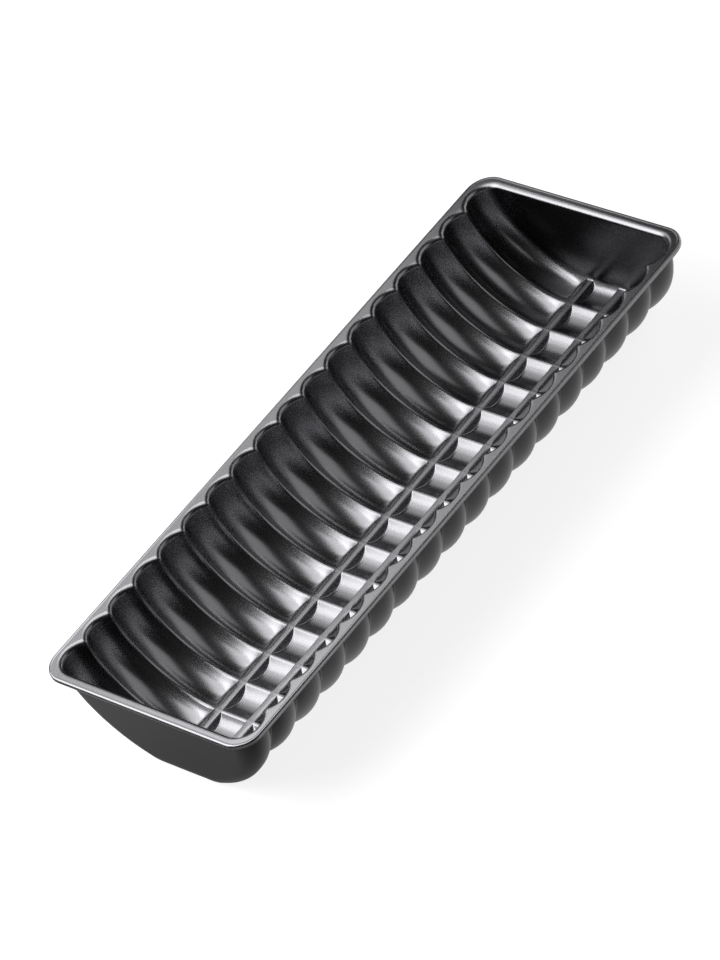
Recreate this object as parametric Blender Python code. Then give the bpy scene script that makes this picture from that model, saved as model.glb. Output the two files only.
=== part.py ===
"""Ridged loaf pan: one sheet of steel, drawn into a long fluted trough with a flat rim.

The pan stands on its flutes with the rim up. +X runs along it, +Y across it and +Z up,
and the origin lies under its middle, on the surface that it stands on.
Both skins of the sheet are built alike, row by row from end to end: the inner one has a
grow of 0, and the outer one a grow of the sheet's thickness.
"""
import math

import bmesh
import bpy

MM = 0.001

# The rim, measured over its outer edges. The bends are inside radii of the sheet.
LENGTH = 300.0 * MM
WIDTH = 115.0 * MM
HEIGHT = 45.5 * MM
RIM_CORNER = 10.8 * MM
SIDE_FLANGE = 8.4 * MM
END_FLANGE = 5.1 * MM
MOUTH_BEND = 0.5 * MM
EDGE_BEND = 0.2 * MM
EDGE_DROP = 1.9 * MM
SHEET = 0.6 * MM

# The trough: half a tube, fluted across from rim to rim, with its bottom flattened. The flutes
# are FLUTE_DEPTH deep at the mouth and FLOOR_DEPTH deep at the floor.
FLUTES = 18
FLATTENING = 2.0 * MM
FLUTE_DEPTH = 3.65 * MM
FLOOR_DEPTH = 2.8 * MM
MOUTH_CORNER = 8.4 * MM
END_FILLET = 5.0 * MM
END_DRAFT = math.radians(1.9)
SIDE_DRAW_IN = 1.0 * MM

# The two low ridges that run along the floor and bound its middle band. Their inner flanks are
# steep and their outer ones gentle; a run is a flank's width in plan.
RIDGE_SPACING = 17.85 * MM
RIDGE_TOP = 4.0 * MM
RIDGE_INNER_RUN = 1.4 * MM
RIDGE_OUTER_RUN = 3.0 * MM
RIDGE_HEIGHT = 2.8 * MM
RIDGE_END_HEIGHT = 2.4 * MM
FOOT_CLEARANCE = 1.0 * MM

# How finely the curves are divided.
FLUTE_STEPS = 5
SIDE_STEPS = 6
CORNER_STEPS = 4
BEND_STEPS = 2
RIM_CORNER_STEPS = 6

# What follows from the sizes above.
MOUTH_ROUND = MOUTH_BEND + SHEET
EDGE_ROUND = EDGE_BEND + SHEET
CUSP_HALF_WIDTH = WIDTH / 2 - SIDE_FLANGE
CREST_DROP = HEIGHT - SHEET - MOUTH_ROUND
CUSP_HALF_DEPTH = CREST_DROP + FLATTENING - FLOOR_DEPTH
END_WALL_X = LENGTH / 2 - END_FLANGE
END_CREST_X = END_WALL_X - MOUTH_CORNER
PITCH = 2 * END_CREST_X / (FLUTES - 1)
FLUTE_ROUND = ((PITCH / 2) ** 2 + FLUTE_DEPTH ** 2) / (2 * FLUTE_DEPTH)


def flute_arc(across, radius):
    """Height of a flute's arc over its centre, at a distance from the flute's middle plane."""
    return math.sqrt(radius ** 2 - across ** 2)


def flute_swell(across, grow):
    """How far a flute of either skin swells beyond the inner cusps."""
    radius = FLUTE_ROUND + grow
    swell = flute_arc(across, radius) - flute_arc(PITCH / 2, FLUTE_ROUND)
    # The middle facet stands in for the crest, so the arc is raised to level it with that.
    facet_loss = radius - flute_arc(PITCH / FLUTE_STEPS / 2, radius)
    facet_share = (1.0 - abs(across) / (PITCH / 2)) / (1.0 - 1.0 / FLUTE_STEPS)
    return swell + facet_loss * facet_share


def end_wall_x(drop):
    """Distance from the middle to the drafted end wall, at a depth below the mouth's bend."""
    return END_WALL_X - drop * math.tan(END_DRAFT)


def ridge_height(x):
    """Height of a ridge's top over the floor: tallest in the middle of the pan."""
    share = min(1.0, (x / END_CREST_X) ** 2)
    return RIDGE_HEIGHT + (RIDGE_END_HEIGHT - RIDGE_HEIGHT) * share


def make_rows():
    """Rows from one end to the other, each (x, across, turn, end).

    A trough row has a place x, a distance across from its flute's middle plane, and no turn.
    A row of an end's fillet has a turn, from 0 where the floor leaves the last crest to a
    right angle on the end wall, and an end, -1 or 1.
    """
    trough = []
    for flute in range(FLUTES):
        middle = (flute - (FLUTES - 1) / 2) * PITCH
        for step in range(FLUTE_STEPS):
            across = (step / FLUTE_STEPS - 0.5) * PITCH
            trough.append((middle + across, across, None, 0))
    # The end flutes run on to the end walls, so their outer halves give way to the fillets.
    first_kept = FLUTE_STEPS // 2 + 1
    trough = trough[first_kept:]
    trough = trough[:len(trough) - FLUTE_STEPS // 2]
    turns = [math.pi / 2 * step / CORNER_STEPS for step in range(CORNER_STEPS + 1)]
    near = [(-END_CREST_X, 0.0, turn, -1) for turn in reversed(turns)]
    far = [(END_CREST_X, 0.0, turn, 1) for turn in turns]
    return near + trough + far


def fillet_radius(angle):
    """Radius between the end flute and the end wall: large at the mouth, small at the floor."""
    return MOUTH_CORNER + (END_FILLET - MOUTH_CORNER) * math.sin(angle)


def row_swell(row, radius, grow):
    """How far a row swells beyond the inner cusps; radius is that of its end fillet."""
    _, across, turn, _ = row
    if turn is None:
        return flute_swell(across, grow)
    return FLUTE_DEPTH + grow - (radius + grow) * (1 - math.cos(turn))


def row_sink(row, radius, grow):
    """How far a row sinks below the inner cusps at the floor; radius is that of its end fillet."""
    _, across, turn, _ = row
    if turn is None:
        return grow + (flute_swell(across, grow) - grow) * FLOOR_DEPTH / FLUTE_DEPTH
    return FLOOR_DEPTH + grow - (radius + grow) * (1 - math.cos(turn))


def place(row, y, drop, radius, grow):
    """A point of a skin, y across and drop below the mouth's bend; radius is its fillet's."""
    x, _, turn, end = row
    if turn is not None:
        x = end * (end_wall_x(drop) - radius + (radius + grow) * math.sin(turn))
    return x, y, HEIGHT - MOUTH_ROUND - drop


def side_point(row, angle, grow):
    """A point of the curved wall, from angle 0 at the mouth to a right angle at the bottom."""
    radius = fillet_radius(angle)
    swell = row_swell(row, radius, grow)
    draw_in = SIDE_DRAW_IN * (row[0] / END_CREST_X) ** 2 * math.sin(2 * angle)
    y = (CUSP_HALF_WIDTH + swell) * math.cos(angle) - draw_in
    drop = (CUSP_HALF_DEPTH + row_sink(row, radius, grow)) * math.sin(angle)
    return place(row, y, drop, radius, grow)


def floor_point(row, y, ridge, grow):
    """A point of the level floor, or of the top of a ridge that stands ridge above it."""
    drop = CUSP_HALF_DEPTH + row_sink(row, END_FILLET, grow) - FLATTENING
    if ridge:
        crest_drop = CREST_DROP + grow
        if row[2] is not None:
            crest_drop -= (END_FILLET + grow) * (1 - math.cos(row[2]))
            ridge *= math.cos(row[2])
        drop = min(drop, crest_drop - ridge)
    return place(row, y, drop, END_FILLET, grow)


def flank(run, grow):
    """Distances of a flank's top and foot from the ridge's middle, on either skin."""
    lean = math.atan2(RIDGE_HEIGHT, run)
    top = RIDGE_TOP / 2 - grow * math.tan(lean / 2)
    return top, top + run


def section(row, grow):
    """Points of one row, from the mouth at +Y down across the floor and up to the mouth at -Y."""
    middle = RIDGE_SPACING / 2
    inner_top, inner_foot = flank(RIDGE_INNER_RUN, grow)
    outer_top, outer_foot = flank(RIDGE_OUTER_RUN, grow)
    half_width = CUSP_HALF_WIDTH + row_swell(row, END_FILLET, grow)
    half_depth = CUSP_HALF_DEPTH + row_sink(row, END_FILLET, grow)
    # The wall ends where it meets the level floor, and always outside the ridge's foot.
    floor_angle = math.asin(1.0 - FLATTENING / half_depth)
    foot_angle = math.acos((middle + outer_foot + FOOT_CLEARANCE) / half_width)
    last_angle = min(floor_angle, foot_angle)
    angles = [last_angle * step / SIDE_STEPS for step in range(SIDE_STEPS + 1)]
    lift = ridge_height(row[0])
    half = [side_point(row, angle, grow) for angle in angles]
    half.append(floor_point(row, middle + outer_foot, 0.0, grow))
    half.append(floor_point(row, middle + outer_top, lift, grow))
    half.append(floor_point(row, middle - inner_top, lift, grow))
    half.append(floor_point(row, middle - inner_foot, 0.0, grow))
    other = [(px, -py, pz) for px, py, pz in reversed(half)]
    return half + other


def join_rings(bm, inner, outer):
    """Quads between two closed rings with as many vertices."""
    count = len(inner)
    for index in range(count):
        following = (index + 1) % count
        bm.faces.new((inner[index], outer[index], outer[following], inner[following]))


def rim_ring(bm, inset, z):
    """A closed ring round the rim, inset from its outer edge, with a vertex at every cusp."""
    radius = RIM_CORNER - inset
    points = []
    for quarter in range(4):
        cx = (LENGTH / 2 - RIM_CORNER) * (1 if quarter in (0, 3) else -1)
        cy = (WIDTH / 2 - RIM_CORNER) * (1 if quarter in (0, 1) else -1)
        for step in range(RIM_CORNER_STEPS + 1):
            angle = math.pi / 2 * (quarter + step / RIM_CORNER_STEPS)
            points.append((cx + radius * math.cos(angle), cy + radius * math.sin(angle)))
        if quarter in (0, 2):
            way = -1 if quarter == 0 else 1
            y = -way * (WIDTH / 2 - inset)
            for flute in range(1, FLUTES):
                points.append((way * (flute - FLUTES / 2) * PITCH, y))
    return [bm.verts.new((px, py, z)) for px, py in points]


def ring_edges(bm, ring):
    """The edges of a closed ring, made where they are missing."""
    edges = []
    for index, vertex in enumerate(ring):
        pair = (vertex, ring[(index + 1) % len(ring)])
        edges.append(bm.edges.get(pair) or bm.edges.new(pair))
    return edges


def build_trough(bm, rows, grow):
    """The fluted skin with its two flat end walls; gives the ring of vertices round the mouth."""
    grid = [[bm.verts.new(point) for point in section(row, grow)] for row in rows]
    for here, there in zip(grid, grid[1:]):
        for index in range(len(here) - 1):
            bm.faces.new((here[index], here[index + 1], there[index + 1], there[index]))
    for wall in (grid[0], grid[-1]):
        for index in range(SIDE_STEPS):
            bm.faces.new((wall[index], wall[-1 - index], wall[-2 - index], wall[index + 1]))
        bm.faces.new(wall[SIDE_STEPS:-SIDE_STEPS])
    left = [line[0] for line in grid]
    right = [line[-1] for line in reversed(grid)]
    return left + right


def mouth_step(row, side, share, grow):
    """The step in plan that the mouth's bend has taken from a row's end, at a share of its width."""
    _, across, turn, end = row
    if turn is None:
        width = flute_arc(across, FLUTE_ROUND + MOUTH_ROUND) - flute_arc(across, FLUTE_ROUND + grow)
        return 0.0, side * width * share
    width = MOUTH_ROUND - grow
    return end * math.sin(turn) * width * share, side * math.cos(turn) * width * share


def build_mouth(bm, rows, ring, grow):
    """The bend from the trough's walls out to the flat rim; gives its outer ring."""
    ends = [(row, 1) for row in rows] + [(row, -1) for row in reversed(rows)]
    last = ring
    for step in range(1, BEND_STEPS + 1):
        angle = math.pi / 2 * step / BEND_STEPS
        z = HEIGHT - grow - (MOUTH_ROUND - grow) * (1 - math.sin(angle))
        bent = []
        for (row, side), vertex in zip(ends, ring):
            dx, dy = mouth_step(row, side, 1 - math.cos(angle), grow)
            bent.append(bm.verts.new((vertex.co.x + dx, vertex.co.y + dy, z)))
        join_rings(bm, last, bent)
        last = bent
    return last


def build_rim(bm, mouth, grow):
    """The flat rim from the mouth to its turned-down outer edge; gives the edge's lowest ring."""
    flat = rim_ring(bm, EDGE_ROUND, HEIGHT - grow)
    edges = ring_edges(bm, mouth) + ring_edges(bm, flat)
    bmesh.ops.triangle_fill(bm, use_beauty=True, edges=edges, normal=(0.0, 0.0, 1.0))
    last = flat
    for step in range(1, BEND_STEPS + 1):
        angle = math.pi / 2 * step / BEND_STEPS
        inset = EDGE_ROUND - (EDGE_ROUND - grow) * math.sin(angle)
        z = HEIGHT - grow - (EDGE_ROUND - grow) * (1 - math.cos(angle))
        ring = rim_ring(bm, inset, z)
        join_rings(bm, last, ring)
        last = ring
    lowest = rim_ring(bm, grow, HEIGHT - EDGE_DROP)
    join_rings(bm, last, lowest)
    return lowest


def build_skin(bm, grow):
    """One skin of the sheet, from the trough out to the rim's lower edge."""
    rows = make_rows()
    mouth = build_mouth(bm, rows, build_trough(bm, rows, grow), grow)
    return build_rim(bm, mouth, grow)


def make_coating():
    """Dark satin non-stick coating over the steel, the same inside and out."""
    material = bpy.data.materials.new("black_nonstick_coating")
    material.use_nodes = True
    shader = material.node_tree.nodes["Principled BSDF"]
    shader.inputs["Base Color"].default_value = (0.035, 0.035, 0.037, 1.0)
    shader.inputs["Metallic"].default_value = 0.6
    shader.inputs["Roughness"].default_value = 0.38
    return material


def build_pan():
    """The whole pan as one closed sheet."""
    bm = bmesh.new()
    join_rings(bm, build_skin(bm, 0.0), build_skin(bm, SHEET))
    bmesh.ops.recalc_face_normals(bm, faces=bm.faces[:])
    mesh = bpy.data.meshes.new("pan_body")
    bm.to_mesh(mesh)
    bm.free()
    mesh.materials.append(make_coating())
    mesh.shade_smooth()
    pan = bpy.data.objects.new("pan_body", mesh)
    bpy.context.collection.objects.link(pan)
    return pan


for old in list(bpy.data.objects):
    bpy.data.objects.remove(old)
build_pan()
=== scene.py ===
"""The looks of the ridged loaf pan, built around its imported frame.

The pan is one sheet of steel with a sprayed non-stick coating. Its top skin is modelled as one
slice, from crest to crest over one cusp, which Geometry Nodes repeat along the pan, and as one
end, which they place twice. The sheet's thickness is then given downwards.
"""
import logging
import math
from dataclasses import dataclass, field
from enum import Enum

import bmesh
import bpy
from mathutils import Matrix, Vector

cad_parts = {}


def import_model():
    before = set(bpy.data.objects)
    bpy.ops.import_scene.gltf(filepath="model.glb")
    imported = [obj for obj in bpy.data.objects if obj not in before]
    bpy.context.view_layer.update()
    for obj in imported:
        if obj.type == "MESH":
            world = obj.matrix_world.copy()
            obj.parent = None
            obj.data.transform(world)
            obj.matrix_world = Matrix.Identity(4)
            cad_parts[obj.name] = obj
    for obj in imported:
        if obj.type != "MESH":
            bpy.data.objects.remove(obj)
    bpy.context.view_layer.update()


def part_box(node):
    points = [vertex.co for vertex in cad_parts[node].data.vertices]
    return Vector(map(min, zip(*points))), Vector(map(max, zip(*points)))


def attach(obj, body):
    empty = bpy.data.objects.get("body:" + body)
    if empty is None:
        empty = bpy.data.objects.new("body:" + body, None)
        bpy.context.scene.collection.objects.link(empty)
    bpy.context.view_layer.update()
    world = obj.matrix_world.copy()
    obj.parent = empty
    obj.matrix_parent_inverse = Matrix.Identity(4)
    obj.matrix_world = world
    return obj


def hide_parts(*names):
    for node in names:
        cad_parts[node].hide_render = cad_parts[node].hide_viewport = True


MM = 0.001
# Points nearer to each other than these are one: within one skin, and between slices and ends.
SAME_POINT = 0.001 * MM
SEAM_GAP = 0.01 * MM
# The numbers of a colour Mix node's sockets.
MIX_SHARE = 0
MIX_FIRST = 6
MIX_SECOND = 7
MIX_RESULT = 2
LOG = logging.getLogger("loaf_pan")
Point = tuple[float, float, float]


def linear(hex_colour: str) -> tuple[float, float, float, float]:
    """Turns an sRGB hex colour into the linear one that a shader takes.

    Args:
        hex_colour: six hex digits after a hash sign.

    Returns:
        Linear red, green, blue and an alpha of 1.
    """
    channels = []
    for start in (1, 3, 5):
        value = int(hex_colour[start:start + 2], 16) / 255
        # The sRGB curve: a straight foot, then a power of 2.4.
        channels.append(value / 12.92 if value <= 0.04045 else ((value + 0.055) / 1.055) ** 2.4)
    return channels[0], channels[1], channels[2], 1.0


def new_finish(name: str) -> tuple[bpy.types.Material, bpy.types.NodeTree, bpy.types.Node]:
    """Makes a material with nodes.

    Args:
        name: the material's name.

    Returns:
        The material, its tree and its shader.
    """
    material = bpy.data.materials.new(name)
    material.use_nodes = True
    return material, material.node_tree, material.node_tree.nodes["Principled BSDF"]


def add_node(tree: bpy.types.NodeTree, kind: str, inputs: dict | None = None,
             **settings: object) -> bpy.types.Node:
    """Adds one node with its settings, values and links.

    Args:
        tree: the tree that takes the node.
        kind: Blender's name for the kind of node.
        inputs: a value or a linked socket for each named or numbered input.
        settings: the node's own properties.

    Returns:
        The new node.
    """
    node = tree.nodes.new(kind)
    for name, value in settings.items():
        setattr(node, name, value)
    for key, value in (inputs or {}).items():
        if isinstance(value, bpy.types.NodeSocket):
            tree.links.new(value, node.inputs[key])
        else:
            node.inputs[key].default_value = value
    return node


def smooth_max(first: float, second: float, blend: float) -> float:
    """The larger of two heights, with a fillet where they meet.

    Args:
        first: one height.
        second: the other height.
        blend: the difference of heights over which the fillet runs.

    Returns:
        The blended height.
    """
    share = max(0.0, 1.0 - abs(first - second) / blend)
    return max(first, second) + share * share * blend / 4


def between(first: Point, last: Point, share: float) -> Point:
    """The point at a share of the way between two others."""
    x, y, z = Vector(first).lerp(Vector(last), share)
    return x, y, z


@dataclass(frozen=True)
class NonstickCoating:
    """Non-stick coating, sprayed on steel and baked.

    The resin is near black and its mica and aluminium flakes lie flat in it, so it gives soft
    neutral highlights like dark metal, with a fine sparkle, and stays black between them.
    """

    name: str = "nonstick_coating_sprayed"
    resin: str = "#757577"
    flake: str = "#858588"
    metallic: float = 1.0
    roughness: float = 0.28
    roughness_spread: float = 0.05
    # The real flakes are near 0.05 mm wide; they are drawn at 0.5 mm, so that they show.
    grain: float = 0.5 * MM
    grain_depth: float = 0.0006 * MM
    grain_detail: float = 2.0
    grain_roughness: float = 0.6
    # The band of the grain's noise over which the roughness changes.
    grain_low: float = 0.3
    grain_high: float = 0.7
    # Painted shade: the end walls, told by how far their normals point along the pan, take a darker
    # colour so that they mirror less; the colour changes between these two shares.
    wall: str = "#3e3e40"
    shaded_wall_start: float = 0.84
    shaded_wall_full: float = 0.97

    def material(self) -> bpy.types.Material:
        """Builds the coating's material on Object coordinates.

        Returns:
            The material.
        """
        material, tree, shader = new_finish(self.name)
        coordinates = add_node(tree, "ShaderNodeTexCoord")
        place = coordinates.outputs["Object"]
        grain = add_node(tree, "ShaderNodeTexNoise", {
            "Vector": place, "Scale": 1 / self.grain, "Detail": self.grain_detail,
            "Roughness": self.grain_roughness})
        speckle = add_node(tree, "ShaderNodeMix", {
            MIX_SHARE: grain.outputs["Fac"], MIX_FIRST: linear(self.resin),
            MIX_SECOND: linear(self.flake)}, data_type="RGBA")
        # Painted shade: where the normal points along the pan, the colour darkens towards the end
        # walls' colour.
        along = add_node(tree, "ShaderNodeSeparateXYZ", {
            0: coordinates.outputs["Normal"]}).outputs["X"]
        steep = add_node(tree, "ShaderNodeMath", {0: along}, operation="ABSOLUTE")
        wall_shade = add_node(tree, "ShaderNodeMapRange", {
            "Value": steep.outputs[0], "From Min": self.shaded_wall_start, "From Max": self.shaded_wall_full},
            interpolation_type="SMOOTHSTEP")
        colour = add_node(tree, "ShaderNodeMix", {
            MIX_SHARE: wall_shade.outputs[0], MIX_FIRST: speckle.outputs[MIX_RESULT],
            MIX_SECOND: linear(self.wall)}, data_type="RGBA")
        gloss = add_node(tree, "ShaderNodeMapRange", {
            "Value": grain.outputs["Fac"], "From Min": self.grain_low,
            "From Max": self.grain_high, "To Min": self.roughness - self.roughness_spread / 2,
            "To Max": self.roughness + self.roughness_spread / 2})
        bump = add_node(tree, "ShaderNodeBump", {
            "Height": grain.outputs["Fac"], "Distance": self.grain_depth, "Strength": 1.0})
        tree.links.new(colour.outputs[MIX_RESULT], shader.inputs["Base Color"])
        tree.links.new(gloss.outputs["Result"], shader.inputs["Roughness"])
        tree.links.new(bump.outputs["Normal"], shader.inputs["Normal"])
        shader.inputs["Metallic"].default_value = self.metallic
        return material


@dataclass(frozen=True)
class BackCoating:
    """Plain black fluoropolymer coating on the pan's outside, sprayed thin and baked satin.

    It holds no flakes, so its reflection is weak seen straight on and grows towards grazing.
    """

    name: str = "fluoropolymer_black_baked_satin"
    colour: str = "#111112"
    roughness: float = 0.34
    index: float = 1.4
    # Orange peel, as a sprayed film leaves it.
    peel: float = 1.6 * MM
    peel_depth: float = 0.004 * MM
    peel_detail: float = 1.0

    def material(self) -> bpy.types.Material:
        """Builds the back coating's material on Object coordinates.

        Returns:
            The material.
        """
        material, tree, shader = new_finish(self.name)
        place = add_node(tree, "ShaderNodeTexCoord").outputs["Object"]
        peel = add_node(tree, "ShaderNodeTexNoise", {
            "Vector": place, "Scale": 1 / self.peel, "Detail": self.peel_detail})
        bump = add_node(tree, "ShaderNodeBump", {
            "Height": peel.outputs["Fac"], "Distance": self.peel_depth, "Strength": 1.0})
        tree.links.new(bump.outputs["Normal"], shader.inputs["Normal"])
        shader.inputs["Base Color"].default_value = linear(self.colour)
        shader.inputs["Roughness"].default_value = self.roughness
        shader.inputs["IOR"].default_value = self.index
        return material


@dataclass(frozen=True)
class StudioPaper:
    """Seamless white studio paper: matt, and pure white to the camera and in reflections, but for a
    painted shade in reflections before the pan's near end.
    """

    name: str = "studio_paper_matt"
    colour: str = "#8c8c8c"
    roughness: float = 0.9
    glow: float = 0.85
    # Painted shade: before the pan's near end, which mirrors the paper there, the glow that
    # reflections see is dimmed in place of the pan's own shade; from full shade to none.
    shade_start: float = -155.0 * MM
    shade_stop: float = -100.0 * MM
    shaded: float = 0.1

    def material(self) -> bpy.types.Material:
        """Builds the paper, with a glow that only camera, glossy and transmission rays see.

        Returns:
            The material.
        """
        material, tree, shader = new_finish(self.name)
        shader.inputs["Base Color"].default_value = linear(self.colour)
        shader.inputs["Roughness"].default_value = self.roughness
        shader.inputs["Specular IOR Level"].default_value = 0.0
        rays = add_node(tree, "ShaderNodeLightPath")
        place = add_node(tree, "ShaderNodeTexCoord").outputs["Object"]
        along = add_node(tree, "ShaderNodeSeparateXYZ", {0: place}).outputs["X"]
        # Painted shade: the glow seen in reflections dims towards the pan's near end.
        shade = add_node(tree, "ShaderNodeMapRange", {
            "Value": along, "From Min": self.shade_start, "From Max": self.shade_stop,
            "To Min": self.shaded, "To Max": 1.0}, interpolation_type="SMOOTHSTEP")
        mirrored = add_node(tree, "ShaderNodeMath", {
            0: rays.outputs["Is Glossy Ray"], 1: shade.outputs[0]}, operation="MULTIPLY")
        seen = add_node(tree, "ShaderNodeMath", {
            0: rays.outputs["Is Camera Ray"], 1: mirrored.outputs[0]}, operation="MAXIMUM")
        seen = add_node(tree, "ShaderNodeMath", {
            0: seen.outputs[0], 1: rays.outputs["Is Transmission Ray"]}, operation="MAXIMUM")
        strength = add_node(tree, "ShaderNodeMath", {
            0: seen.outputs[0], 1: self.glow}, operation="MULTIPLY")
        shader.inputs["Emission Color"].default_value = (1.0, 1.0, 1.0, 1.0)
        tree.links.new(strength.outputs[0], shader.inputs["Emission Strength"])
        return material


@dataclass(frozen=True)
class SkinPoint:
    """A point of the top skin, with its shares of what changes from the middle to the ends."""

    place: Point
    draw_in: float = 0.0
    ridge: float = 0.0


@dataclass(frozen=True)
class Flank:
    """One side of a floor ridge: half its flat top, its wall and the fillet at its foot.

    Where the ridge rises too little for both fillets, they shrink with it, down to a least width.
    """

    slope: float
    foot_round: float
    half_top: float
    top_round: float
    steps: int = 5
    least_width: float = 0.25
    # Both fillets keep their full radii where the ridge rises this many times what they need.
    wall_spare: float = 1.1

    def section(self, rise: float) -> list[tuple[float, float]]:
        """The flank's section, from its foot to its top.

        Args:
            rise: height of the ridge's top over the floor beside it.

        Returns:
            Distances from the ridge's middle plane, and shares of the rise.
        """
        lean = math.atan(self.slope)
        tangent = math.tan(lean / 2)
        least = self.wall_spare * (self.top_round + self.foot_round) * tangent * math.sin(lean)
        full = max(rise, least)
        width = min(1.0, max(self.least_width, rise / least))
        top_round = self.top_round * width
        foot_round = self.foot_round * width
        top = self.half_top - top_round * tangent
        foot = self.half_top + max(rise, least * width) / self.slope + foot_round * tangent
        turns = [lean * step / self.steps for step in range(self.steps + 1)]
        points = []
        for turn in turns:
            share = self.foot_round * (1 - math.cos(turn)) / full
            points.append((foot - foot_round * math.sin(turn), share))
        for turn in reversed(turns):
            share = 1 - self.top_round * (1 - math.cos(turn)) / full
            points.append((top + top_round * math.sin(turn), share))
        return points


@dataclass
class Rim:
    """The flat rim with the bend at the mouth and the turned-down outer edge."""

    length: float
    width: float
    height: float
    corner: float = 10.8 * MM
    side_flange: float = 8.4 * MM
    end_flange: float = 5.1 * MM
    mouth_round: float = 2.2 * MM
    edge_round: float = 0.8 * MM
    edge_drop: float = 1.9 * MM
    # A fine groove runs round inside the rounded edge, where the rim was trimmed and turned down.
    groove_depth: float = 0.12 * MM
    groove_width: float = 0.7 * MM
    bend_steps: int = 7
    groove_steps: int = 3
    edge_steps: int = 4
    flat_shares: tuple[float, ...] = (0.08, 0.5, 0.92)

    def flat_height(self) -> float:
        """Height of the rim's flat, which lies a groove's depth below the edge's top."""
        return self.height - self.groove_depth

    def outline(self, turn: float, inset: float) -> tuple[float, float]:
        """A point of the rim's corner at +X +Y, from its long side to its end.

        Args:
            turn: 0 where the corner leaves the long side, a right angle where it meets the end.
            inset: distance inside the outer edge.

        Returns:
            The place in plan.
        """
        radius = self.corner - inset
        x = self.length / 2 - self.corner + radius * math.sin(turn)
        y = self.width / 2 - self.corner + radius * math.cos(turn)
        return x, y

    def edge_profile(self) -> list[tuple[float, float]]:
        """The edge's section, from its lowest line to the flat.

        Returns:
            Distances inside the outer edge, and drops below the edge's top.
        """
        profile = [(0.0, self.edge_drop)]
        for step in range(self.edge_steps):
            angle = math.pi / 2 * (1 - step / self.edge_steps)
            inset = self.edge_round * (1 - math.sin(angle))
            profile.append((inset, self.edge_round * (1 - math.cos(angle))))
        for step in range(self.groove_steps + 1):
            share = step / self.groove_steps
            drop = self.groove_depth * (1 - math.cos(math.pi * share)) / 2
            profile.append((self.edge_round + self.groove_width * share, drop))
        return profile

    def row(self, edge: list[Point], flat: tuple[float, float],
            mouth: tuple[float, float]) -> list[SkinPoint]:
        """Points of one row over the rim, from its lowest line to just short of the mouth.

        Args:
            edge: the row's points over the edge's section.
            flat: in plan, where the flat meets the mouth's bend.
            mouth: in plan, where the bend meets the trough's wall.

        Returns:
            The row's points over the edge, the flat and the bend.
        """
        inner = (flat[0], flat[1], self.flat_height())
        points = list(edge)
        points += [between(edge[-1], inner, share) for share in self.flat_shares]
        for step in range(self.bend_steps):
            angle = math.pi / 2 * step / self.bend_steps
            share = math.sin(angle)
            x = flat[0] + (mouth[0] - flat[0]) * share
            y = flat[1] + (mouth[1] - flat[1]) * share
            points.append((x, y, self.flat_height() - self.mouth_round * (1 - math.cos(angle))))
        return [SkinPoint(point) for point in points]


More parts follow.
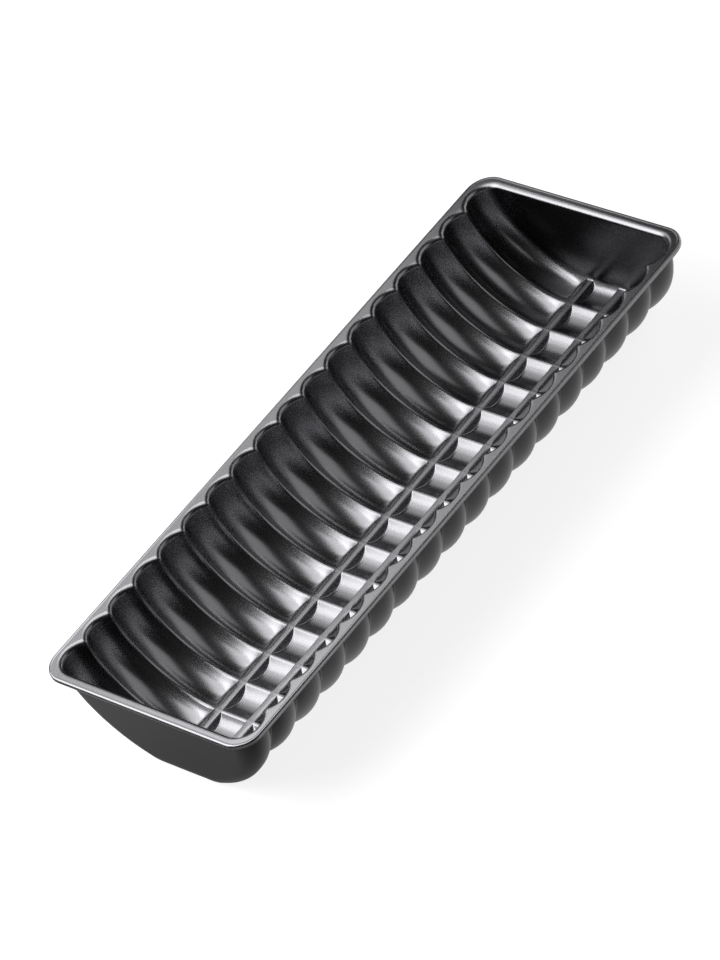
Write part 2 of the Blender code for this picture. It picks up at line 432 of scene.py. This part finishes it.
@dataclass
class Trough:
    """The fluted half tube with its flattened bottom, two floor ridges and flat end walls."""

    rim: Rim
    inner_flank: Flank = Flank(2.2, foot_round=0.8 * MM, half_top=1.9 * MM, top_round=0.6 * MM)
    outer_flank: Flank = Flank(0.84, foot_round=3.0 * MM, half_top=1.6 * MM, top_round=4.0 * MM)
    sheet: float = 0.6 * MM
    flutes: int = 18
    # The flutes' depth at the mouth, and at the floor.
    flute_depth: float = 3.65 * MM
    floor_depth: float = 2.8 * MM
    cusp_round: float = 1.5 * MM
    cusp_tip_round: float = 0.4 * MM
    mouth_corner: float = 8.4 * MM
    end_fillet: float = 5.0 * MM
    end_draft: float = math.radians(1.9)
    side_draw_in: float = 1.0 * MM
    ridge_spacing: float = 17.85 * MM
    # How much deeper the half tube would reach without its level floor.
    flattening: float = 2.0 * MM
    floor_blend: float = 0.5 * MM
    ridge_height: float = 2.88 * MM
    ridge_loss: float = 0.1 * MM
    ridge_blend: float = 0.3 * MM
    flute_steps: int = 6
    cusp_steps: int = 3
    side_steps: int = 22
    corner_steps: int = 9
    floor_reach: float = 17.5 * MM
    outer_shares: tuple[float, ...] = (0.0, 0.5, 0.8)
    inner_shares: tuple[float, ...] = (0.06, 0.2, 0.5, 1.0)
    wall_shares: tuple[float, ...] = (0.01, 0.08, 0.25, 0.5, 0.75, 0.92, 0.99)
    mouth_z: float = field(init=False)
    half_width: float = field(init=False)
    crest_depth: float = field(init=False)
    half_depth: float = field(init=False)
    wall_x: float = field(init=False)
    crest_x: float = field(init=False)
    pitch: float = field(init=False)
    scallop_radius: float = field(init=False)

    def __post_init__(self) -> None:
        """Works out the sizes that follow from the driving ones."""
        self.mouth_z = self.rim.flat_height() - self.rim.mouth_round
        self.half_width = self.rim.width / 2 - self.rim.side_flange
        self.crest_depth = self.mouth_z - self.sheet
        self.half_depth = self.crest_depth + self.flattening - self.floor_depth
        self.wall_x = self.rim.length / 2 - self.rim.end_flange
        self.crest_x = self.wall_x - self.mouth_corner
        self.pitch = 2 * self.crest_x / (self.flutes - 1)
        half = self.pitch / 2
        self.scallop_radius = (half ** 2 + self.flute_depth ** 2) / (2 * self.flute_depth)

    def swell(self, x: float, grow: float, cusp_round: float) -> float:
        """How far the scallop swells beyond the cusp's tip.

        Args:
            x: distance from the cusp, along the pan.
            grow: how far outside the top skin the scallop lies.
            cusp_round: radius of its rounded cusp.

        Returns:
            The swell.
        """
        half = self.pitch / 2
        centre = self.flute_depth - self.scallop_radius + self.cusp_round
        radius = self.scallop_radius - self.cusp_round + grow
        span = radius + cusp_round
        if abs(x) < cusp_round * half / span:
            return centre + math.sqrt(span ** 2 - half ** 2) - math.sqrt(cusp_round ** 2 - x ** 2)
        return centre + math.sqrt(radius ** 2 - (half - abs(x)) ** 2)

    def slice_places(self) -> list[float]:
        """Places along one slice, from crest to crest over the cusp, close where it curves.

        Returns:
            The places, from the cusp at 0.
        """
        radius = self.scallop_radius - self.cusp_round
        tangent = math.asin(self.pitch / 2 / self.scallop_radius)
        places = []
        for step in range(self.flute_steps):
            places.append(-self.pitch / 2 + radius * math.sin(tangent * step / self.flute_steps))
        for step in range(self.cusp_steps):
            places.append(-self.cusp_round * math.sin(tangent * (1 - step / self.cusp_steps)))
        return places + [0.0] + [-place for place in reversed(places)]

    def sink(self, swell: float) -> float:
        """How far a scallop sinks below the cusps at the floor, from its swell at the mouth."""
        return swell * self.floor_depth / self.flute_depth

    def outer_floor(self, y: float, swell: float, sink: float) -> float:
        """Height of the floor outside the ridges, over the crests' floor: level, then curved.

        Args:
            y: distance from the middle plane.
            swell: the row's swell beyond the cusps at the mouth.
            sink: the same at the floor.

        Returns:
            The height.
        """
        drop = (self.half_depth + sink) * math.sqrt(1 - (y / (self.half_width + swell)) ** 2)
        return smooth_max(self.crest_depth - drop, self.floor_depth - sink, self.floor_blend)

    def floor_row(self, swell: float, sink: float, top: float) -> list[tuple[float, float, float]]:
        """Half of a row over the floor, from its outer bound to the middle plane.

        Args:
            swell: the row's swell beyond the cusps at the mouth.
            sink: the same at the floor.
            top: height of the ridges' tops over the crests' floor.

        Returns:
            Distances from the middle plane, heights over the crests' floor and shares of the
            ridge's rise.
        """
        middle = self.ridge_spacing / 2
        level = self.floor_depth - sink
        top = smooth_max(top, level, self.ridge_blend)
        outer = self.outer_flank.section(
            top - self.outer_floor(middle + self.outer_flank.half_top, swell, sink))
        start = middle + outer[0][0]
        row = []
        for share in self.outer_shares:
            y = self.floor_reach + (start - self.floor_reach) * share
            row.append((y, self.outer_floor(y, swell, sink), 0.0))
        for offset, share in outer:
            floor = self.outer_floor(middle + offset, swell, sink)
            row.append((middle + offset, floor + (top - floor) * share, share))
        row.append((middle, top, 1.0))
        inner = self.inner_flank.section(top - level)
        for offset, share in reversed(inner):
            row.append((middle - offset, level + (top - level) * share, share))
        stop = middle - inner[0][0]
        return row + [(stop * (1 - share), level, 0.0) for share in self.inner_shares]

    def fillet_radius(self, angle: float) -> float:
        """Radius between the end flute and the end wall: large at the mouth, small at the floor."""
        return self.mouth_corner + (self.end_fillet - self.mouth_corner) * math.sin(angle)

    def slice_row(self, x: float) -> list[SkinPoint]:
        """Half of a slice's row, from the rim's lowest line at +Y to the middle of the floor.

        Args:
            x: the row's distance from the slice's cusp.

        Returns:
            The row's points.
        """
        swell = self.swell(x, 0.0, self.cusp_round)
        sink = self.sink(swell)
        last = math.acos(self.floor_reach / (self.half_width + swell))
        edge = [(x, self.rim.width / 2 - inset, self.rim.height - drop)
                for inset, drop in self.rim.edge_profile()]
        flat_y = self.half_width + self.swell(x, self.rim.mouth_round, self.cusp_tip_round)
        row = self.rim.row(edge, (x, flat_y), (x, self.half_width + swell))
        for step in range(self.side_steps):
            angle = last * step / self.side_steps
            y = (self.half_width + swell) * math.cos(angle)
            z = self.mouth_z - (self.half_depth + sink) * math.sin(angle)
            row.append(SkinPoint((x, y, z), draw_in=math.sin(math.pi * step / self.side_steps)))
        for y, height, ridge in self.floor_row(swell, sink, self.ridge_height):
            row.append(SkinPoint((x, y, self.sheet + height), ridge=ridge))
        return row

    def end_row(self, turn: float) -> list[SkinPoint]:
        """Half of a row of the fillet at the +X end, from the rim to the middle of the floor.

        Args:
            turn: 0 where the fillet leaves the last flute, a right angle on the end wall.

        Returns:
            The row's points, with the easing towards the ends already done.
        """
        edge = []
        for inset, drop in self.rim.edge_profile():
            x, y = self.rim.outline(turn, inset)
            edge.append((x, y, self.rim.height - drop))
        centre_y = self.half_width + self.flute_depth - self.mouth_corner
        outer = self.mouth_corner + self.rim.mouth_round
        flat = (self.crest_x + outer * math.sin(turn), centre_y + outer * math.cos(turn))
        mouth = (self.crest_x + self.mouth_corner * math.sin(turn),
                 centre_y + self.mouth_corner * math.cos(turn))
        row = self.rim.row(edge, flat, mouth)
        swell = self.flute_depth - self.end_fillet * (1 - math.cos(turn))
        last = math.acos(self.floor_reach / (self.half_width + swell))
        for step in range(self.side_steps):
            angle = last * step / self.side_steps
            radius = self.fillet_radius(angle)
            loss = radius * (1 - math.cos(turn))
            drop = (self.half_depth + self.floor_depth - loss) * math.sin(angle)
            y = (self.half_width + self.flute_depth - loss) * math.cos(angle)
            y -= self.side_draw_in * math.sin(math.pi * step / self.side_steps)
            row.append(SkinPoint((self.fillet_x(turn, drop, radius), y, self.mouth_z - drop)))
        sink = swell + self.floor_depth - self.flute_depth
        for y, height, _ in self.floor_row(swell, sink, self.ridge_height - self.ridge_loss):
            x = self.fillet_x(turn, self.crest_depth - height, self.end_fillet)
            row.append(SkinPoint((x, y, self.sheet + height)))
        return row

    def fillet_x(self, turn: float, drop: float, radius: float) -> float:
        """Place along the pan of a point of the end's fillet, at a depth below the mouth."""
        return self.wall_x - drop * math.tan(self.end_draft) - radius * (1 - math.sin(turn))


@dataclass
class Skin:
    """A mesh that grows row by row, with the attributes that the repeating tree reads."""

    mesh: bmesh.types.BMesh = field(default_factory=bmesh.new)

    def __post_init__(self) -> None:
        """Makes the layers for the points' shares."""
        self.draw_in = self.mesh.verts.layers.float.new("draw_in")
        self.ridge = self.mesh.verts.layers.float.new("ridge")

    def add(self, point: SkinPoint, side: int = 1) -> bmesh.types.BMVert:
        """Adds a point, on its own side or mirrored to the other.

        Args:
            point: the point, as on the +Y side.
            side: 1 for its own side, -1 for the other.

        Returns:
            The new vertex.
        """
        x, y, z = point.place
        vertex = self.mesh.verts.new((x, side * y, z))
        vertex[self.draw_in] = side * point.draw_in
        vertex[self.ridge] = point.ridge
        return vertex

    def mirrored_row(self, half: list[SkinPoint]) -> list[bmesh.types.BMVert]:
        """Adds a whole row from its +Y half, whose last point lies in the middle plane."""
        row = [self.add(point) for point in half]
        return row + [self.add(point, -1) for point in reversed(half[:-1])]

    def join(self, rows: list[list[bmesh.types.BMVert]]) -> None:
        """Joins neighbouring rows by quads that face up into the trough.

        Args:
            rows: rows of equally many vertices.
        """
        for here, there in zip(rows, rows[1:]):
            for index in range(len(here) - 1):
                self.mesh.faces.new(
                    (here[index], here[index + 1], there[index + 1], there[index]))

    def finish(self, name: str, material: bpy.types.Material) -> bpy.types.Object:
        """Turns the skin into an object that only the tree uses.

        Args:
            name: the object's name.
            material: the material of its only slot.

        Returns:
            The object, not linked to the scene.
        """
        bmesh.ops.remove_doubles(self.mesh, verts=self.mesh.verts[:], dist=SAME_POINT)
        data = bpy.data.meshes.new(name)
        self.mesh.to_mesh(data)
        self.mesh.free()
        data.materials.append(material)
        return bpy.data.objects.new(name, data)


@dataclass
class PanSheet:
    """The pan's one sheet, put together from its slices and ends."""

    rim: Rim
    trough: Trough
    inside: NonstickCoating
    outside: BackCoating

    def build_slice(self, coating: bpy.types.Material) -> bpy.types.Object:
        """Builds the skin of one slice, with its cusp at the origin.

        Args:
            coating: the inside's material.

        Returns:
            The slice, not linked to the scene.
        """
        skin = Skin()
        trough = self.trough
        skin.join([skin.mirrored_row(trough.slice_row(x)) for x in trough.slice_places()])
        return skin.finish("pan_slice", coating)

    def build_end(self, coating: bpy.types.Material) -> bpy.types.Object:
        """Builds the skin of the +X end, from the last flute's crest to the rim's end.

        Args:
            coating: the inside's material.

        Returns:
            The end, not linked to the scene.
        """
        skin = Skin()
        trough = self.trough
        first = []
        for point in trough.slice_row(trough.pitch / 2):
            _, y, z = point.place
            y -= point.draw_in * trough.side_draw_in
            first.append(SkinPoint((trough.crest_x, y, z - point.ridge * trough.ridge_loss)))
        rows = [skin.mirrored_row(first)]
        for step in range(trough.corner_steps + 1):
            row = trough.end_row(math.pi / 2 * step / trough.corner_steps)
            rows.append(skin.mirrored_row(row))
        skin.join(rows)
        self.fill_end_wall(skin, row, rows[-1])
        return skin.finish("pan_end", coating)

    def fill_end_wall(self, skin: Skin, half: list[SkinPoint],
                      row: list[bmesh.types.BMVert]) -> None:
        """Fills the end between the two halves of its last row.

        Args:
            skin: the end's skin.
            half: the +Y half of the last row.
            row: the last row's vertices.
        """
        # Quads cross the wall down to the floor's first point, and one face closes it below.
        straight = len(half) - len(self.trough.floor_row(0.0, 0.0, 0.0)) + 1
        columns = [row[:straight]]
        for share in self.trough.wall_shares:
            column = []
            for point in half[:straight]:
                x, y, z = point.place
                column.append(skin.add(SkinPoint(between((x, y, z), (x, -y, z), share))))
            columns.append(column)
        columns.append(row[:-straight - 1:-1])
        skin.join(columns)
        bottom = row[straight:-straight]
        top = [column[-1] for column in reversed(columns)]
        skin.mesh.faces.new(bottom + top)

    def repeating_tree(self) -> bpy.types.GeometryNodeTree:
        """Builds the tree that repeats the slice along the pan and adds both ends.

        Returns:
            The tree.
        """
        tree = bpy.data.node_groups.new("fluted_sheet", "GeometryNodeTree")
        sides = tree.interface
        sides.new_socket("Sheet", in_out="OUTPUT", socket_type="NodeSocketGeometry")
        sides.new_socket("Sheet", in_out="INPUT", socket_type="NodeSocketGeometry")
        for name, kind in (("Slice", "Object"), ("End", "Object"), ("Cusps", "Int"),
                           ("Pitch", "Float"), ("Crest place", "Float"), ("Draw in", "Float"),
                           ("Ridge loss", "Float"), ("Coating", "Material")):
            sides.new_socket(name, in_out="INPUT", socket_type="NodeSocket" + kind)
        sizes = add_node(tree, "NodeGroupInput").outputs
        last = add_node(tree, "ShaderNodeMath", {
            0: sizes["Cusps"], 1: 1.0}, operation="SUBTRACT").outputs[0]
        start = add_node(tree, "ShaderNodeMath", {
            0: last, 1: sizes["Pitch"]}, operation="MULTIPLY").outputs[0]
        start = add_node(tree, "ShaderNodeMath", {
            0: start, 1: -0.5}, operation="MULTIPLY").outputs[0]
        line = add_node(tree, "GeometryNodeMeshLine", {
            "Count": sizes["Cusps"],
            "Start Location": add_node(tree, "ShaderNodeCombineXYZ", {"X": start}).outputs[0],
            "Offset": add_node(tree, "ShaderNodeCombineXYZ", {"X": sizes["Pitch"]}).outputs[0]})
        piece = add_node(tree, "GeometryNodeObjectInfo", {"Object": sizes["Slice"]})
        placed = add_node(tree, "GeometryNodeInstanceOnPoints", {
            "Points": line.outputs[0], "Instance": piece.outputs["Geometry"]})
        slices = add_node(tree, "GeometryNodeRealizeInstances", {"Geometry": placed.outputs[0]})
        eased = add_node(tree, "GeometryNodeSetPosition", {
            "Geometry": slices.outputs[0], "Offset": self.easing(tree, sizes)})
        end = add_node(tree, "GeometryNodeObjectInfo", {
            "Object": sizes["End"], "As Instance": True})
        other = add_node(tree, "GeometryNodeTransform", {
            "Geometry": end.outputs["Geometry"], "Rotation": (0.0, 0.0, math.pi)})
        joined = add_node(tree, "GeometryNodeJoinGeometry")
        for part in (eased.outputs[0], end.outputs["Geometry"], other.outputs[0]):
            tree.links.new(part, joined.inputs[0])
        whole = add_node(tree, "GeometryNodeRealizeInstances", {"Geometry": joined.outputs[0]})
        merged = add_node(tree, "GeometryNodeMergeByDistance", {
            "Geometry": whole.outputs[0], "Distance": SEAM_GAP})
        dressed = add_node(tree, "GeometryNodeSetMaterial", {
            "Geometry": merged.outputs[0], "Material": sizes["Coating"]})
        add_node(tree, "NodeGroupOutput", {0: dressed.outputs[0]})
        return tree

    def easing(self, tree: bpy.types.GeometryNodeTree,
               sizes: bpy.types.bpy_prop_collection) -> bpy.types.NodeSocket:
        """Adds what changes from the middle to the ends: drawn-in sides and lower ridges.

        Args:
            tree: the repeating tree.
            sizes: the outputs of its input node.

        Returns:
            The offset of each point.
        """
        place = add_node(tree, "GeometryNodeInputPosition").outputs[0]
        along = add_node(tree, "ShaderNodeSeparateXYZ", {0: place}).outputs["X"]
        share = add_node(tree, "ShaderNodeMath", {
            0: along, 1: sizes["Crest place"]}, operation="DIVIDE").outputs[0]
        share = add_node(tree, "ShaderNodeMath", {
            0: share, 1: share}, operation="MULTIPLY").outputs[0]
        share = add_node(tree, "ShaderNodeMath", {
            0: share, 1: -1.0}, operation="MULTIPLY").outputs[0]
        moves = {}
        for axis, attribute, size in (("Y", "draw_in", "Draw in"), ("Z", "ridge", "Ridge loss")):
            part = add_node(tree, "GeometryNodeInputNamedAttribute", {
                "Name": attribute}, data_type="FLOAT").outputs[0]
            move = add_node(tree, "ShaderNodeMath", {
                0: part, 1: sizes[size]}, operation="MULTIPLY").outputs[0]
            moves[axis] = add_node(tree, "ShaderNodeMath", {
                0: move, 1: share}, operation="MULTIPLY").outputs[0]
        return add_node(tree, "ShaderNodeCombineXYZ", moves).outputs[0]

    def thicken(self, holder: bpy.types.Object) -> None:
        """Gives the skin the sheet's thickness, downwards.

        Args:
            holder: the object that holds the skin.
        """
        thick = holder.modifiers.new("sheet", "SOLIDIFY")
        thick.thickness = self.trough.sheet
        thick.offset = -1.0
        thick.use_even_offset = False
        # The sheet's lower side takes the second slot, the back coating's.
        thick.material_offset = 1

    def build(self) -> bpy.types.Object:
        """Builds the whole sheet as one closed mesh.

        Returns:
            The finished piece, linked to the scene.
        """
        trough = self.trough
        coating = self.inside.material()
        back = self.outside.material()
        values = {"Slice": self.build_slice(coating), "End": self.build_end(coating),
                  "Cusps": trough.flutes - 1, "Pitch": trough.pitch,
                  "Crest place": trough.crest_x, "Draw in": trough.side_draw_in,
                  "Ridge loss": trough.ridge_loss, "Coating": coating}
        holder = bpy.data.objects.new("sheet_holder", bpy.data.meshes.new("sheet_holder"))
        bpy.context.collection.objects.link(holder)
        # The thickening reads the number of slots here, and the tree keeps only the first.
        holder.data.materials.append(coating)
        holder.data.materials.append(back)
        nodes = holder.modifiers.new("flutes", "NODES")
        nodes.node_group = self.repeating_tree()
        for socket in nodes.node_group.interface.items_tree:
            if socket.in_out == "INPUT" and socket.name in values:
                nodes[socket.identifier] = values[socket.name]
        self.thicken(holder)
        graph = bpy.context.evaluated_depsgraph_get()
        data = bpy.data.meshes.new_from_object(holder.evaluated_get(graph), depsgraph=graph)
        for name in ("draw_in", "ridge"):
            data.attributes.remove(data.attributes[name])
        for spare in (holder, values["Slice"], values["End"]):
            bpy.data.objects.remove(spare)
        data.name = "pan_sheet"
        data.materials.append(back)
        data.shade_smooth()
        pan = bpy.data.objects.new("pan_sheet", data)
        bpy.context.collection.objects.link(pan)
        return pan


class LampRole(Enum):
    """What a soft box does for the picture."""

    KEY = "key"
    TOP = "top"
    SIDE = "side"
    EDGE = "edge"
    FILL = "fill"


@dataclass(frozen=True)
class SoftBox:
    """An oblong soft box that faces the pan.

    Its azimuth is counted from +X towards +Y. The angles are in degrees, and the turn is about
    the way to the pan.
    """

    role: LampRole
    azimuth: float
    elevation: float
    size: tuple[float, float]
    radiance: float
    distance: float = 0.5
    turn: float = 0.0

    def build(self) -> bpy.types.Object:
        """Adds the lamp; its power follows from its area and the radiance that it shows.

        Returns:
            The lamp, linked to the scene.
        """
        width, height = self.size
        light = bpy.data.lights.new("soft_box_" + self.role.value, "AREA")
        light.shape = "RECTANGLE"
        light.size = width
        light.size_y = height
        light.energy = self.radiance * math.pi * width * height
        azimuth = math.radians(self.azimuth)
        elevation = math.radians(self.elevation)
        way = Vector((math.cos(elevation) * math.cos(azimuth),
                      math.cos(elevation) * math.sin(azimuth), math.sin(elevation)))
        lamp = bpy.data.objects.new(light.name, light)
        facing = (-way).to_track_quat("-Z", "Y").to_matrix().to_4x4()
        turned = facing @ Matrix.Rotation(math.radians(self.turn), 4, "Z")
        lamp.matrix_world = Matrix.Translation(way * self.distance) @ turned
        bpy.context.collection.objects.link(lamp)
        return lamp


@dataclass
class Studio:
    """The floor, the soft boxes, the world and the camera."""

    lamps: tuple[SoftBox, ...]
    paper: StudioPaper = StudioPaper()
    floor_side: float = 12.0
    floor_gap: float = 0.2 * MM
    world_grey: str = "#202020"
    # The camera, as fitted to the photograph: its place in metres, angles and focal length.
    camera_place: Point = (-1.03964, -1.59552, 1.66276)
    azimuth: float = math.radians(-32.852)
    elevation: float = math.radians(40.554)
    roll: float = math.radians(-26.227)
    focal_px: float = 6199.4
    image_height_px: float = 960.0
    sensor: float = 36.0

    def build_floor(self) -> bpy.types.Object:
        """Returns:
            The floor, linked to the scene.
        """
        skin = bmesh.new()
        bmesh.ops.create_grid(skin, x_segments=1, y_segments=1, size=self.floor_side / 2,
                              matrix=Matrix.Translation((0.0, 0.0, -self.floor_gap)))
        data = bpy.data.meshes.new("studio_floor")
        skin.to_mesh(data)
        skin.free()
        data.materials.append(self.paper.material())
        floor = bpy.data.objects.new("studio_floor", data)
        bpy.context.collection.objects.link(floor)
        return floor

    def build_world(self) -> None:
        """Gives the room a dim, even grey."""
        world = bpy.data.worlds.new("studio_room")
        world.use_nodes = True
        world.node_tree.nodes["Background"].inputs["Color"].default_value = linear(self.world_grey)
        bpy.context.scene.world = world

    def build_camera(self) -> None:
        """Stands the camera where the photograph was taken from."""
        back = Vector((math.sin(self.azimuth) * math.cos(self.elevation),
                       -math.cos(self.azimuth) * math.cos(self.elevation),
                       math.sin(self.elevation)))
        level = Vector((math.cos(self.azimuth), math.sin(self.azimuth), 0.0))
        turned = Matrix.Rotation(self.roll, 3, back) @ level
        up = back.cross(turned)
        data = bpy.data.cameras.new("camera")
        data.sensor_fit = "VERTICAL"
        data.sensor_height = self.sensor
        data.lens = self.focal_px * self.sensor / self.image_height_px
        camera = bpy.data.objects.new("camera", data)
        axes = Matrix((turned, up, back)).transposed().to_4x4()
        camera.matrix_world = Matrix.Translation(self.camera_place) @ axes
        bpy.context.collection.objects.link(camera)
        bpy.context.scene.camera = camera

    def build(self) -> None:
        """Builds everything around the pan."""
        self.build_floor()
        self.build_world()
        for lamp in self.lamps:
            LOG.info("lamp: %s", lamp.build().name)
        self.build_camera()
        bpy.context.scene.view_settings.view_transform = "Standard"


SOFT_BOXES = (
    SoftBox(LampRole.KEY, azimuth=136.5, elevation=38.0, size=(0.48, 0.42), radiance=5.0),
    SoftBox(LampRole.TOP, azimuth=118.0, elevation=73.0, size=(0.46, 0.30), radiance=3.1),
    SoftBox(LampRole.SIDE, azimuth=68.5, elevation=46.0, size=(0.36, 0.28), radiance=1.45,
            turn=39.0),
    SoftBox(LampRole.EDGE, azimuth=2.0, elevation=13.0, size=(0.28, 0.18), radiance=1.5),
    SoftBox(LampRole.FILL, azimuth=-42.0, elevation=34.0, size=(0.55, 0.42), radiance=0.8,
            distance=0.55),
)


def main() -> None:
    """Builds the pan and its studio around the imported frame, and reports each piece."""
    logging.basicConfig(level=logging.INFO, format="%(message)s")
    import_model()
    low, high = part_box("pan_body")
    rim = Rim(length=high[0] - low[0], width=high[1] - low[1], height=high[2] - low[2])
    pan = PanSheet(rim, Trough(rim), NonstickCoating(), BackCoating()).build()
    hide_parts("pan_body")
    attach(pan, "root")
    LOG.info("piece: %s, %d faces", pan.name, len(pan.data.polygons))
    Studio(SOFT_BOXES).build()


if __name__ == "__main__":
    main()
